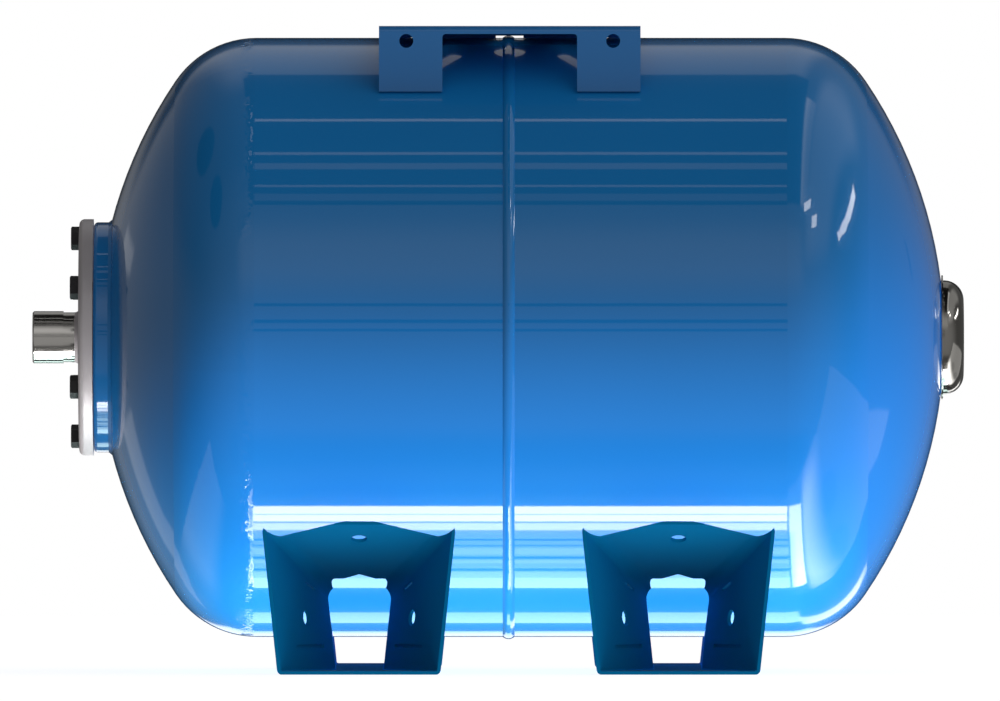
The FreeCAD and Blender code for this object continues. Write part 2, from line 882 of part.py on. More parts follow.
def foot(label, side):
    """Pressed saddle, hollow from end to end and cut to sit on the shell."""
    body = new_body(label, x=side * s.foot_pitch / 2)
    saddle_loft(body, "outside", "AdditiveLoft", Size(0))
    saddle_loft(body, "inside", "SubtractiveLoft", s.foot_sheet)
    for end in (-1, 1):
        wall_grooves(body, end)
    reach = 4 * rim_y
    seat = circle(new_sketch(body, "seat", "YZ_Plane"), 0, axis_height, s.shell_radius + s.seat_gap)
    feature(body, "Pocket", seat, reach, SideType="Symmetric")

    trim = new_sketch(body, "trim", "XZ_Plane")
    horn_height = rim_top - s.horn_drop
    horn = s.rim_half_width + horn_height * tangent(s.wall_lean)
    above = rim_top + s.foot_sheet
    beyond = horn + s.foot_sheet
    for hand in (1, -1):
        outline(
            trim,
            [
                (hand * s.nose_half_width, rim_top),
                (hand * s.valley_half_width, rim_top - s.valley_drop, hand * s.horn_curve),
                (hand * horn, horn_height),
                (hand * beyond, horn_height),
                (hand * beyond, above),
                (hand * s.nose_half_width, above),
            ],
        )
    eave = roof_height - s.eave_drop
    under_roof = eave - 10 * s.foot_sheet
    outline(
        trim,
        [
            (0, roof_height),
            (-s.roof_half_width, eave),
            (-s.roof_half_width, under_roof),
            (s.roof_half_width, under_roof),
            (s.roof_half_width, eave),
        ],
    )
    feature(body, "Pocket", trim, reach, SideType="Symmetric")

    # the sole is trimmed flat at the floor
    sole = outline(
        new_sketch(body, "sole", "XY_Plane"),
        [(-beyond, -reach / 2), (beyond, -reach / 2), (beyond, reach / 2), (-beyond, reach / 2)],
    )
    feature(body, "Pocket", sole, s.foot_sheet)

    bolts = new_sketch(body, "floor_holes", "XY_Plane")
    for hand in (1, -1):
        circle(bolts, 0, hand * (rim_y - s.floor_hole_inset), s.floor_hole_radius)
    feature(body, "Pocket", bolts, reach, SideType="Symmetric")

    sides = new_sketch(body, "side_holes", "YZ_Plane")
    outer_y = rim_y - s.vent_outer_inset
    outer_z = rim_top - s.vent_outer_drop
    inner_y = rim_y - s.vent_inner_inset
    inner_z = rim_top - s.vent_inner_drop
    run = outer_y - inner_y
    drop = outer_z - inner_z
    length = root(run * run + drop * drop)
    across_y = drop / length * s.vent_width / 2
    across_z = run / length * s.vent_width / 2
    for hand in (1, -1):
        circle(sides, hand * (rim_y - s.side_hole_inset), s.side_hole_height, s.side_hole_radius)
        outline(
            sides,
            [
                (hand * (outer_y + across_y), outer_z - across_z),
                (hand * (outer_y - across_y), outer_z + across_z),
                (hand * (inner_y - across_y), inner_z + across_z),
                (hand * (inner_y + across_y), inner_z - across_z),
            ],
        )
    feature(body, "Pocket", sides, reach, SideType="Symmetric")


def foot_welds(label, side):
    """Beads that fill the wedge between the top plates of a saddle and the shell."""
    body = new_body(label, x=side * s.foot_pitch / 2)
    slope = s.flare_rise / s.flare_length
    drop = axis_height - throat_top + slope * throat_y
    square = 1 + slope * slope
    meet = drop * slope + root(
        drop * slope * drop * slope - square * (drop * drop - s.shell_radius * s.shell_radius)
    )
    meet_y = meet / square
    near = meet_y + s.foot_weld_start
    far = meet_y + s.foot_weld_end
    shell = s.shell_radius + s.seat_gap

    def plate_z(y):
        return throat_top + slope * (y - throat_y) + s.seat_gap

    def shell_z(y):
        return axis_height - root(shell * shell - y * y)

    sketch = new_sketch(body, "beads", "YZ_Plane")
    for hand in (1, -1):
        outline(
            sketch,
            [
                (hand * near, plate_z(near)),
                (hand * far, plate_z(far)),
                (hand * far, shell_z(far), -hand * shell),
                (hand * near, shell_z(near)),
            ],
        )
    feature(body, "Pad", sketch, 2 * s.roof_half_width, SideType="Symmetric")


# Bracket

leg_inner = s.bracket_half_depth - s.bracket_sheet
leg_shell = s.shell_radius + s.seat_gap
leg_bottom = axis_height + root(leg_shell * leg_shell - leg_inner * leg_inner)


def rounded_slot(sketch, x1, y1, x2, y2, half_width):
    """Slot between two end centres, its ends a little flatter than half circles."""
    dx = x2 - x1
    dy = y2 - y1
    length = root(dx * dx + dy * dy)
    nx = dy / length * half_width
    ny = dx / length * half_width
    end_radius = 1.05 * half_width
    outline(
        sketch,
        [
            (x1 + nx, y1 - ny),
            (x2 + nx, y2 - ny, end_radius),
            (x2 - nx, y2 + ny),
            (x1 - nx, y1 + ny, end_radius),
        ],
    )


def pump_bracket():
    """Folded plate: two legs on the shell, an open front, a closed back, slots for the pump's feet."""
    body = new_body("pump_bracket", x=s.bracket_x)
    out = s.bracket_half_depth
    top = axis_height + s.shell_radius + s.bracket_standoff
    under = top - s.bracket_sheet
    bend = s.bracket_bend
    inner_bend = bend - s.bracket_sheet
    fold = outline(
        new_sketch(body, "fold", "YZ_Plane"),
        [
            (-out, leg_bottom),
            (-out, top - bend, -bend),
            (bend - out, top),
            (out - bend, top, -bend),
            (out, top - bend),
            (out, leg_bottom),
            (leg_inner, leg_bottom),
            (leg_inner, top - bend, inner_bend),
            (leg_inner - inner_bend, under),
            (inner_bend - leg_inner, under, inner_bend),
            (-leg_inner, top - bend),
            (-leg_inner, leg_bottom),
        ],
    )
    feature(body, "Pad", fold, s.bracket_length, SideType="Symmetric")

    reach = 3 * s.bracket_sheet
    margin = s.bracket_sheet / 2
    below = leg_bottom - margin
    half = s.cutout_width / 2
    cutout_top = top - s.cutout_drop
    round_off = s.cutout_corner
    front = new_sketch(body, "front_cut", "XZ_Plane", out + margin)
    outline(
        front,
        [
            (-half, below),
            (half, below),
            (half, cutout_top - round_off, round_off),
            (half - round_off, cutout_top),
            (round_off - half, cutout_top, round_off),
            (-half, cutout_top - round_off),
        ],
    )
    rear = new_sketch(body, "rear_cut", "XZ_Plane", -(out + margin))
    notch = s.notch_width / 2
    notch_top = top - s.notch_drop
    outline(rear, [(-notch, below), (notch, below), (notch, notch_top), (-notch, notch_top)])
    for hand in (1, -1):
        for sketch, pitch in ((front, s.front_hole_pitch), (rear, s.rear_hole_pitch)):
            circle(sketch, hand * pitch / 2, top - s.bracket_hole_drop, s.bracket_hole_radius)
    feature(body, "Pocket", front, reach)
    feature(body, "Pocket", rear, reach, Reversed=True)

    plate = new_sketch(body, "plate_cut", "XY_Plane", top + margin)
    for hand in (1, -1):
        circle(plate, 0, hand * s.access_hole_y, s.access_hole_radius)
        for end in (1, -1):
            ends = [
                (end * s.slot_inner_x, hand * s.slot_inner_y),
                (end * s.slot_outer_x, hand * s.slot_outer_y),
            ]
            rounded_slot(plate, *ends[0], *ends[1], s.slot_half_width)
    feature(body, "Pocket", plate, 2 * s.bracket_sheet)


def bracket_welds():
    """Beads inside the legs: two behind the front legs, two along the closed back."""
    body = new_body("bracket_welds", x=s.bracket_x)
    face = leg_inner - s.seat_gap
    toe = face - s.bracket_weld_leg
    shell = s.shell_radius + 2 * s.seat_gap

    def shell_z(y):
        return axis_height + root(shell * shell - y * y)

    pads = []
    for name, hand, clear in (("front", -1, s.cutout_width / 2), ("rear", 1, s.notch_width / 2)):
        sketch = outline(
            new_sketch(body, f"{name}_bead", "YZ_Plane", clear + s.seat_gap),
            [
                (hand * face, shell_z(face)),
                (hand * face, shell_z(face) + s.bracket_weld_leg),
                (hand * toe, shell_z(toe), -hand * shell),
            ],
        )
        length = s.bracket_length / 2 - clear - 2 * s.seat_gap
        pads.append(feature(body, "Pad", sketch, length))
    other = body.newObject("PartDesign::Mirrored", "other_side")
    other.Originals = pads
    other.MirrorPlane = (origin_feature(body, "YZ_Plane"), [""])
    body.Tip = other


def build():
    inlet_end_shell()
    valve_end_shell()
    girth_weld()
    neck_collar()
    fillet_weld("collar_weld", WATER, s.collar_radius, s.collar_weld_leg)
    bladder()
    inlet_flange()
    inlet_nipple()
    nipple_weld()
    flange_bolts()
    valve_boss()
    fillet_weld("boss_weld", VALVE, s.boss_radius, s.boss_weld_leg)
    valve_gasket()
    air_valve_body()
    valve_core()
    valve_pin()
    pin_seal()
    valve_cap()
    cap_seal()
    valve_cover()
    cover_ring()
    for side, name in ((-1, "inlet_end_foot"), (1, "valve_end_foot")):
        foot(name, side)
        foot_welds(f"{name}_welds", side)
    pump_bracket()
    bracket_welds()
    DOC.recompute()


def check_and_write():
    """Stops if any object failed; then writes each sub-part."""
    for item in DOC.Objects:
        bad = [state for state in item.State if state in ("Invalid", "Error")]
        if bad:
            raise RuntimeError(f"{item.Label} did not build: {bad}")
    for node in NODES:
        shape = node.Shape
        if shape.isNull() or not shape.isValid() or not shape.Solids:
            raise RuntimeError(f"{node.Label} has no valid solid")
        print(f"{node.Label}: {len(shape.Solids)} solid, {shape.Volume / 1000:.2f} cm3")
    os.makedirs("parts", exist_ok=True)
    for node in NODES:
        node.Shape.exportStep(f"parts/{node.Label}.step")


build()
check_and_write()
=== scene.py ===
"""Well pressure tank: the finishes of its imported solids, and the studio that its enamel mirrors."""

import math
from typing import NamedTuple

import bpy
import mathutils
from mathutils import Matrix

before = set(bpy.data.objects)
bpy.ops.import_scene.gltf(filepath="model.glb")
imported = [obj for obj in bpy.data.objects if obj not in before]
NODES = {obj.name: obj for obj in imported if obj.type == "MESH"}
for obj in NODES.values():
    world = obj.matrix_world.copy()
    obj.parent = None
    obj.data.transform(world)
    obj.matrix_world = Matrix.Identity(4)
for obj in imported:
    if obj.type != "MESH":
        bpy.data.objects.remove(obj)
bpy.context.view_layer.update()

# ---------------------------------------------------------------- the photograph's frame
PHOTO_WIDTH, PHOTO_HEIGHT = 1000, 701
METRES_PER_PIXEL = 0.6344e-3
GIRTH_COLUMN = 518.5  # pixel column of X = 0
FLOOR_ROW = 671.5  # pixel row of Z = 0
LENS = 1100.0
SENSOR = 36.0
CAMERA_REACH = 100.0

WHITE = (1.0, 1.0, 1.0)


# ---------------------------------------------------------------- node helpers
class Nodes:
    """Fills one node tree from empty; a socket, number or colour may feed any input."""

    def __init__(self, tree):
        self.tree = tree
        tree.nodes.clear()

    def add(self, kind, settings=None, **inputs):
        """A node with its settings made and the named inputs fed; an underscore stands for a space."""
        node = self.tree.nodes.new(kind)
        for name, value in (settings or {}).items():
            setattr(node, name, value)
        for name, value in inputs.items():
            self.feed(node.inputs[name.replace("_", " ")], value)
        return node

    def feed(self, socket, value):
        if isinstance(value, bpy.types.NodeSocket):
            self.tree.links.new(value, socket)
        elif isinstance(value, (tuple, list)) and len(value) == 3 and len(socket.default_value) == 4:
            socket.default_value = (*value, 1.0)
        else:
            socket.default_value = value

    def feed_in_order(self, node, values):
        """The node, with its inputs fed from the first on."""
        for socket, value in zip(node.inputs, values):
            self.feed(socket, value)
        return node

    def math(self, operation, *values, clamp=False):
        node = self.add("ShaderNodeMath", {"operation": operation, "use_clamp": clamp})
        return self.feed_in_order(node, values).outputs[0]

    def chain(self, operation, first, *others):
        """The operation carried through the values from left to right."""
        for other in others:
            first = self.math(operation, first, other)
        return first

    def vector(self, operation, *values):
        node = self.add("ShaderNodeVectorMath", {"operation": operation})
        return self.feed_in_order(node, values).outputs

    def part(self, vector, axis):
        """The part of a vector along X, Y or Z, or its dot product with an axis given as three numbers."""
        if isinstance(axis, str):
            return self.add("ShaderNodeSeparateXYZ", Vector=vector).outputs[axis]
        return self.vector("DOT_PRODUCT", vector, axis)["Value"]

    def mix(self, factor, a, b, kind="RGBA"):
        return self.add("ShaderNodeMix", {"data_type": kind}, Factor=factor, A=a, B=b).outputs["Result"]

    def fade(self, value, start, end, low=0.0, high=1.0, kind="SMOOTHSTEP"):
        """Low where the value is at start, high where it is at end, and level beyond them."""
        limits = {"From_Min": start, "From_Max": end, "To_Min": low, "To_Max": high}
        return self.add("ShaderNodeMapRange", {"interpolation_type": kind}, Value=value, **limits).outputs["Result"]

    def noise(self, vector, scale, detail):
        return self.add("ShaderNodeTexNoise", Vector=vector, Scale=scale, Detail=detail).outputs[0]

    def bump(self, height, strength, distance, **over):
        return self.add("ShaderNodeBump", Height=height, Strength=strength, Distance=distance, **over).outputs[0]


NOISE_MIDDLE = 0.5


def grain_group():
    """The grain of a surface, from a coarse and a fine noise on the given vector.
    Height is the coarse noise plus a share of the fine one. Roughness swings with the fine noise round its
    middle. Mottle is the coarse noise alone."""
    group = bpy.data.node_groups.new("surface_grain", "ShaderNodeTree")
    group.interface.new_socket("Vector", in_out="INPUT", socket_type="NodeSocketVector")
    usual = {"Coarse Scale": 60.0, "Fine Scale": 600.0, "Fine Share": 0.3, "Roughness": 0.2, "Roughness Spread": 0.1}
    for label, value in usual.items():
        group.interface.new_socket(label, in_out="INPUT", socket_type="NodeSocketFloat").default_value = value
    for label in ("Height", "Roughness", "Mottle"):
        group.interface.new_socket(label, in_out="OUTPUT", socket_type="NodeSocketFloat")
    nodes = Nodes(group)
    given = nodes.add("NodeGroupInput").outputs
    coarse = nodes.noise(given["Vector"], given["Coarse Scale"], detail=2.0)
    fine = nodes.noise(given["Vector"], given["Fine Scale"], detail=3.0)
    height = nodes.math("ADD", nodes.math("MULTIPLY", fine, given["Fine Share"]), coarse)
    swing = nodes.math("MULTIPLY", nodes.math("SUBTRACT", fine, NOISE_MIDDLE), given["Roughness Spread"])
    roughness = nodes.math("ADD", swing, given["Roughness"], clamp=True)
    nodes.add("NodeGroupOutput", Height=height, Roughness=roughness, Mottle=coarse)
    return group


GRAIN = grain_group()


class Finish:
    """A material: one Principled shader whose colour, roughness and relief follow the grain.
    The tones are the colours at the two ends of the mottle; the relief is the bump's strength and distance."""

    def __init__(self, name, tones, grain, relief, **settings):
        self.material = bpy.data.materials.new(name)
        self.material.use_nodes = True
        self.nodes = Nodes(self.material.node_tree)
        self.place = self.nodes.add("ShaderNodeTexCoord").outputs["Object"]
        grain = self.nodes.add("ShaderNodeGroup", {"node_tree": GRAIN}, Vector=self.place, **grain).outputs
        self.colour = self.nodes.mix(grain["Mottle"], *tones)
        self.normal = self.nodes.bump(grain["Height"], *relief)
        shown = {"Base_Color": self.colour, "Roughness": grain["Roughness"], "Normal": self.normal}
        self.shader = self.nodes.add("ShaderNodeBsdfPrincipled", **shown, **settings)
        self.nodes.add("ShaderNodeOutputMaterial", Surface=self.shader.outputs[0])

    def feed(self, label, value):
        self.nodes.feed(self.shader.inputs[label], value)


# ---------------------------------------------------------------- finishes
# Lengths are in metres; the scale of a noise is its number of waves in a metre.
COAT_IOR = 1.5

# Dust and painted shade on the sole plates: a darker colour mixed in on faces that look up, close above the floor.
DUST_AND_SHADE_SLOPES = (0.7, 0.95)  # upward part of the face's normal: no dust and painted shade, full dust and painted shade
DUST_AND_SHADE_HEIGHTS = (0.012, 0.02)  # height above the floor: full dust and painted shade, none
DUST_AND_SHADE_COVER = 0.85

INLET_PRESS_X = -0.1705  # the ring on the inlet end shell where the press let go of the sheet
PRESS_RING_RISE = (-0.007, -0.001)  # from the ring's X: ripples begin, are full
PRESS_RING_FALL = (0.0, 0.004)  # begin to die out, are gone
RIPPLE_SCALE, RIPPLE_STRENGTH, RIPPLE_DISTANCE = 210.0, 0.9, 0.0014
PATCH_SCALE = 26.0
PATCH_LEVELS = (0.42, 0.60)  # level of the noise: no ripples, full ripples

# How far the bumps of each kind of finish reach.
PAINT_DISTANCE, METAL_DISTANCE, RUBBER_DISTANCE = 0.0012, 0.0004, 0.0003
RUBBER_STRENGTH = 0.3


def dusted_and_shaded(finish, dust_and_shade):
    """The finish's colour with dust and painted shade, a darker colour, on the faces that look up, close above the
    floor.
    """
    nodes = finish.nodes
    normal = nodes.add("ShaderNodeNewGeometry").outputs["True Normal"]
    looks_up = nodes.fade(nodes.part(normal, "Z"), *DUST_AND_SHADE_SLOPES)
    lies_low = nodes.fade(nodes.part(finish.place, "Z"), *DUST_AND_SHADE_HEIGHTS, DUST_AND_SHADE_COVER, 0.0)
    return nodes.mix(nodes.math("MULTIPLY", looks_up, lies_low), finish.colour, dust_and_shade)


def rippled(finish, pressed_x):
    """The finish's normal with patches of ripples in a narrow ring round the vessel's axis."""
    nodes = finish.nodes
    along = nodes.part(finish.place, "X")
    rise = nodes.fade(along, *(pressed_x + edge for edge in PRESS_RING_RISE))
    fall = nodes.fade(along, *(pressed_x + edge for edge in PRESS_RING_FALL), 1.0, 0.0)
    patches = nodes.fade(nodes.noise(finish.place, PATCH_SCALE, detail=1.0), *PATCH_LEVELS)
    ripple = nodes.noise(finish.place, RIPPLE_SCALE, detail=1.0)
    height = nodes.chain("MULTIPLY", ripple, patches, rise, fall)
    return nodes.bump(height, RIPPLE_STRENGTH, RIPPLE_DISTANCE, Normal=finish.normal)


def paint(name, blue, deep, roughness, waviness, coat, coat_roughness, specular, pressed_x=None, dust_and_shade=None):
    """Enamel over primed steel: faint colour drift, orange peel and a slow wave of the sheet beneath, under a
    clear coat. The coat ripples more where the press left the sheet uneven, a narrow ring at pressed_x.
    Dust and painted shade of the given colour lie on the sole plates."""
    finish = Finish(
        name,
        tones=(deep, blue),
        grain=dict(Coarse_Scale=9.0, Fine_Scale=420.0, Fine_Share=0.02, Roughness=roughness, Roughness_Spread=0.12),
        relief=(waviness, PAINT_DISTANCE),
        Metallic=0.0,
        Specular_IOR_Level=specular,
        Coat_Weight=coat,
        Coat_Roughness=coat_roughness,
        Coat_IOR=COAT_IOR,
    )
    # dust and painted shade mixed into the colour of low faces that look up
    if dust_and_shade is not None:
        finish.feed("Base Color", dusted_and_shaded(finish, dust_and_shade))
    finish.feed("Coat Normal", finish.normal if pressed_x is None else rippled(finish, pressed_x))
    return finish.material


def metal(name, light, dark, roughness, spread, coarse, fine, bump, metallic=1.0):
    """Bare or plated metal: colour drifts between two tones and the roughness is broken up finely."""
    return Finish(
        name,
        tones=(dark, light),
        grain=dict(Coarse_Scale=coarse, Fine_Scale=fine, Fine_Share=0.6, Roughness=roughness, Roughness_Spread=spread),
        relief=(bump, METAL_DISTANCE),
        Metallic=metallic,
    ).material


def rubber(name, tone, bloom):
    """Moulded rubber or plastic: matt, with a faint pale bloom in patches."""
    return Finish(
        name,
        tones=(tone, bloom),
        grain=dict(Coarse_Scale=40.0, Fine_Scale=900.0, Fine_Share=0.5, Roughness=0.62, Roughness_Spread=0.2),
        relief=(RUBBER_STRENGTH, RUBBER_DISTANCE),
        Metallic=0.0,
    ).material


SHELL_ENAMEL = dict(
    blue=(0.010, 0.222, 0.610),
    deep=(0.008, 0.214, 0.580),
    roughness=0.22,
    waviness=0.06,
    coat=1.0,
    coat_roughness=0.015,
    specular=0.1,
)
SHELL_PAINT = paint("shell_enamel", **SHELL_ENAMEL)
INLET_SHELL_PAINT = paint("inlet_end_shell_enamel", **SHELL_ENAMEL, pressed_x=INLET_PRESS_X)
SHEET_PAINT = paint(
    "sheet_enamel",
    blue=(0.012, 0.170, 0.480),
    deep=(0.009, 0.155, 0.440),
    roughness=0.30,
    waviness=0.10,
    coat=1.0,
    coat_roughness=0.04,
    specular=0.1,
)
FOOT_PAINT = paint(
    "foot_enamel",
    blue=(0.002, 0.185, 0.430),
    deep=(0.001, 0.168, 0.395),
    roughness=0.55,
    waviness=0.10,
    coat=0.0,
    coat_roughness=0.12,
    specular=0.01,
    # dust and painted shade: a dark grey-blue mixed into the sole plates' colour
    dust_and_shade=(0.03, 0.05, 0.06),
)
ZINC = metal(
    "zinc_plate",
    light=(0.60, 0.56, 0.57),
    dark=(0.50, 0.465, 0.475),
    roughness=0.42,
    spread=0.15,
    coarse=25.0,
    fine=700.0,
    bump=0.2,
    metallic=0.3,
)
NIPPLE = metal(
    "turned_nipple_steel",
    light=(0.62, 0.60, 0.57),
    dark=(0.54, 0.52, 0.49),
    roughness=0.14,
    spread=0.08,
    coarse=30.0,
    fine=800.0,
    bump=0.05,
)
BLACK_STEEL = metal(
    "blackened_bolt_steel",
    light=(0.045, 0.044, 0.045),
    dark=(0.018, 0.018, 0.020),
    roughness=0.38,
    spread=0.25,
    coarse=120.0,
    fine=900.0,
    bump=0.3,
    metallic=0.8,
)
BARE_STEEL = metal(
    "bare_steel",
    light=(0.52, 0.51, 0.50),
    dark=(0.38, 0.37, 0.36),
    roughness=0.35,
    spread=0.2,
    coarse=40.0,
    fine=800.0,
    bump=0.06,
)
POLISHED = metal(
    "polished_cover_steel",
    light=(0.34, 0.33, 0.31),
    dark=(0.28, 0.27, 0.25),
    roughness=0.10,
    spread=0.08,
    coarse=12.0,
    fine=500.0,
    bump=0.05,
)
BRASS = metal(
    "valve_brass",
    light=(0.78, 0.58, 0.25),
    dark=(0.62, 0.44, 0.18),
    roughness=0.28,
    spread=0.15,
    coarse=60.0,
    fine=900.0,
    bump=0.03,
)
BAG_RUBBER = rubber("bag_rubber", (0.025, 0.024, 0.024), (0.050, 0.048, 0.046))
SEAL_RUBBER = rubber("seal_rubber", (0.012, 0.012, 0.012), (0.030, 0.030, 0.030))
CAP_PLASTIC = rubber("cap_plastic", (0.015, 0.015, 0.016), (0.022, 0.022, 0.024))

FINISH_OF = {
    "inlet_end_shell": INLET_SHELL_PAINT,
    "valve_end_shell": SHELL_PAINT,
    "girth_weld": SHELL_PAINT,
    "neck_collar": SHELL_PAINT,
    "collar_weld": SHELL_PAINT,
    "bladder": BAG_RUBBER,
    "inlet_flange": ZINC,
    "inlet_nipple": NIPPLE,
    "nipple_weld": ZINC,
    "flange_bolts": BLACK_STEEL,
    "valve_boss": BARE_STEEL,
    "boss_weld": BARE_STEEL,
    "valve_gasket": SEAL_RUBBER,
    "air_valve_body": BRASS,
    "valve_core": BRASS,
    "valve_pin": BRASS,
    "pin_seal": SEAL_RUBBER,
    "valve_cap": CAP_PLASTIC,
    "cap_seal": SEAL_RUBBER,
    "valve_cover": POLISHED,
    "cover_ring": BARE_STEEL,
    "inlet_end_foot": FOOT_PAINT,
    "inlet_end_foot_welds": FOOT_PAINT,
    "valve_end_foot": FOOT_PAINT,
    "valve_end_foot_welds": FOOT_PAINT,
    "pump_bracket": SHEET_PAINT,
    "bracket_welds": SHEET_PAINT,
}


def dress(piece, material):
    """Puts the material in every slot of the piece."""
    if not piece.data.materials:
        piece.data.materials.append(material)
    for slot in piece.material_slots:
        slot.material = material


for name, finish in FINISH_OF.items():
    dress(NODES[name], finish)
    if finish is FOOT_PAINT:  # the photograph's enamel mirrors the room but not the feet
        NODES[name].visible_glossy = False


# ---------------------------------------------------------------- the room that the gloss mirrors
class Fade(NamedTuple):
    """Low where the measure is at start, high where it is at end, and level beyond them."""

    measure: object
    start: float
    end: float
    low: float = 0.0
    high: float = 1.0

    def mask(self, room):
        return room.fade(room.measure(self.measure), self.start, self.end, self.low, self.high)


class Band(NamedTuple):
    """1 from start to end and 0 outside, each edge spread over the soft width to either side."""

    measure: object
    start: float
    end: float
    soft: float

    def mask(self, room):
        value = room.measure(self.measure)
        rise = room.fade(value, self.start - self.soft, self.start + self.soft)
        fall = room.fade(value, self.end - self.soft, self.end + self.soft, 1.0, 0.0)
        return room.math("MULTIPLY", rise, fall)


ELLIPSE_EDGE = (0.8, 1.25)  # squared distance from the middle, in half axes: where the edge begins and ends


class Ellipse(NamedTuple):
    """1 in an ellipse round a direction; its half axes are unit directions and lengths."""

    middle: tuple
    long_axis: tuple
    half_length: float
    short_axis: tuple
    half_width: float

    def mask(self, room):
        offset = room.vector("SUBTRACT", room.way, self.middle)["Vector"]
        squares = []
        for axis, half in ((self.long_axis, self.half_length), (self.short_axis, self.half_width)):
            share = room.part(offset, [part / half for part in axis])
            squares.append(room.math("MULTIPLY", share, share))
        return room.fade(room.math("ADD", *squares), *ELLIPSE_EDGE, 1.0, 0.0)


def side(normal, soft=0.012):
    """The side that the normal points to, of a plane through the middle of the room."""
    return Fade(normal, -soft, soft)


class Room(Nodes):
    """The nodes of the world, and the measures of the direction in which a ray leaves.
    They are the direction's parts along x, y, z or an axis given as three numbers, and its turn: the degrees
    round the vessel's axis, 0 level towards the camera, 90 straight up and -90 straight down."""

    def __init__(self, tree):
        super().__init__(tree)
        self.way = self.add("ShaderNodeTexCoord").outputs["Generated"]
        parts = self.add("ShaderNodeSeparateXYZ", Vector=self.way).outputs
        toward_camera = self.math("MULTIPLY", parts["Y"], -1.0)
        turn = self.math("DEGREES", self.math("ARCTAN2", parts["Z"], toward_camera))
        self.known = {"x": parts["X"], "y": parts["Y"], "z": parts["Z"], "turn": turn}

    def measure(self, wanted):
        """The measure called x, y, z or turn, or the one along the axis given."""
        return self.known[wanted] if wanted in self.known else self.part(self.way, wanted)

    def mask(self, bounds):
        """The product of all the bounds."""
        return self.chain("MULTIPLY", *(bound.mask(self) for bound in bounds))

    def lift(self, level, amount, bounds):
        """The level with an amount added inside the bounds."""
        return self.math("ADD", level, self.math("MULTIPLY", self.mask(bounds), amount))

    def dim(self, level, share, bounds):
        """The level with a share of it taken away inside the bounds."""
        left = self.math("SUBTRACT", 1.0, self.math("MULTIPLY", self.mask(bounds), share))
        return self.math("MULTIPLY", level, left)

    def layered(self, level, layers):
        """The level after all the layers; each is a lift or a dimming, its amount and its bounds."""
        for change, amount, *bounds in layers:
            level = change(self, level, amount, bounds)
        return level


# Turns, from and to, of the joints in the wall behind the camera and at the ceiling's near edge.
DARK_JOINTS = ((11.8, 13.0), (5.4, 6.8), (2.2, 3.2), (52.2, 53.4))
# Patches of shade that show on the dishes.
DARK_MARKS = (
    Ellipse((-0.661, 0.150, 0.736), (0.676, 0.560, 0.478), 0.155, (0.400, -0.757, 0.518), 0.150),
    Ellipse((-0.641, -0.325, 0.694), (0.536, 0.467, 0.703), 0.160, (0.671, -0.679, 0.298), 0.120),
    Ellipse((0.6495, 0.751, 0.119), (-0.100, -0.060, 0.990), 0.035, (0.756, -0.654, 0.037), 0.006),
)
# Lightest behind the camera, dim beyond the vessel and a little darker at the left.
WALLS = (Fade("y", -1.0, -0.1, 0.38, 0.13), Fade("x", -0.5, 0.0, 0.85, 1.0))
WALL_LAYERS = (
    # paler wall at the left, level with the vessel and beyond it
    (Room.lift, 0.11, Band("z", -0.2, 0.25, 0.15), Fade("x", -0.4, -0.15, 1.0, 0.0), Fade("y", -0.7, 0.0)),
    # pale wall high up beyond the vessel
    (
        Room.lift,
        0.22,
        Fade("y", 0.3, 0.6),
        Fade("z", 0.2, 0.35),
        Fade("x", -0.42, -0.18),
        Fade("x", 0.13, 0.25, 1.0, 0.0),
    ),
    # pale wall above the camera
    (Room.lift, 0.25, Band("turn", 20.0, 42.0, 8.0), Band("x", -0.3, 0.3, 0.1)),
    # dark straight beyond the vessel and a little above that
    (Room.dim, 0.9, Fade("y", 0.872, 0.918), Fade("z", 0.1, 0.2)),
    (Room.dim, 0.7, Fade("y", 0.97, 0.99)),
    # dark ceiling panel, and the pale one to its right
    (Room.dim, 0.90, Band("turn", 53.0, 122.0, 0.8), Band("x", -0.13, 0.24, 0.015)),
    (Room.lift, 1.0, Band("turn", 53.0, 110.0, 1.0), Band("x", 0.25, 0.36, 0.02), Fade("x", 0.25, 0.34, 1.1, 0.4)),
    *((Room.dim, 0.95, Band("turn", start, end, 0.35), Band("x", -0.07, 0.07, 0.02)) for start, end in DARK_JOINTS),
    # shade on the floor in front of the bright card, and beyond it
    (Room.dim, 0.55, Band("turn", -52.0, -38.0, 5.0), Band("x", -0.4, 0.4, 0.2)),
    (Room.dim, 0.4, Band("turn", -179.0, -114.0, 1.0), Band("x", -0.3, 0.3, 0.05)),
    *((Room.dim, 0.95, mark) for mark in DARK_MARKS),
)

# The bright card under the vessel, from its far to its near edge in turns, with lamps behind it and dark joints.
CARD_TURNS = (-113.2, -68.4)
CARD_LAMPS = (  # from, to, brightness
    (-76.0, -68.4, 15.0),
    (-79.8, -76.3, 9.0),
    (-92.6, -89.2, 2.0),
    (-97.6, -95.8, 1.8),
    (-106.5, -102.8, 1.8),
    (-113.2, -106.5, 4.6),
)
CARD_JOINTS = (  # middle, half width, depth
    (-72.2, 0.3, 0.5),
    (-75.9, 0.4, 0.7),
    (-84.7, 0.5, 0.9),
    (-87.8, 0.45, 0.7),
    (-94.4, 0.7, 0.95),
    (-101.4, 0.8, 0.95),
)
CARD_LAYERS = (
    (Room.lift, 3.2, Band("turn", *CARD_TURNS, 0.4)),
    *((Room.lift, brightness, Band("turn", start, end, 0.5)) for start, end, brightness in CARD_LAMPS),
    *((Room.dim, depth, Band("turn", middle - half, middle + half, 0.3)) for middle, half, depth in CARD_JOINTS),
)
CARD_SIDES = Band("x", -0.09, 0.075, 0.01)

CEILING_STRIPS = (  # from, to, brightness
    (91.9, 93.2, 1.3),
    (74.8, 76.0, 0.9),
    (68.0, 70.8, 0.45),
    (60.0, 60.8, 0.8),
    (54.0, 57.0, 0.25),
)
BACK_STRIPS = ((-144.6, -133.0, 2.4), (-171.0, -157.4, 1.3))  # from, to, brightness
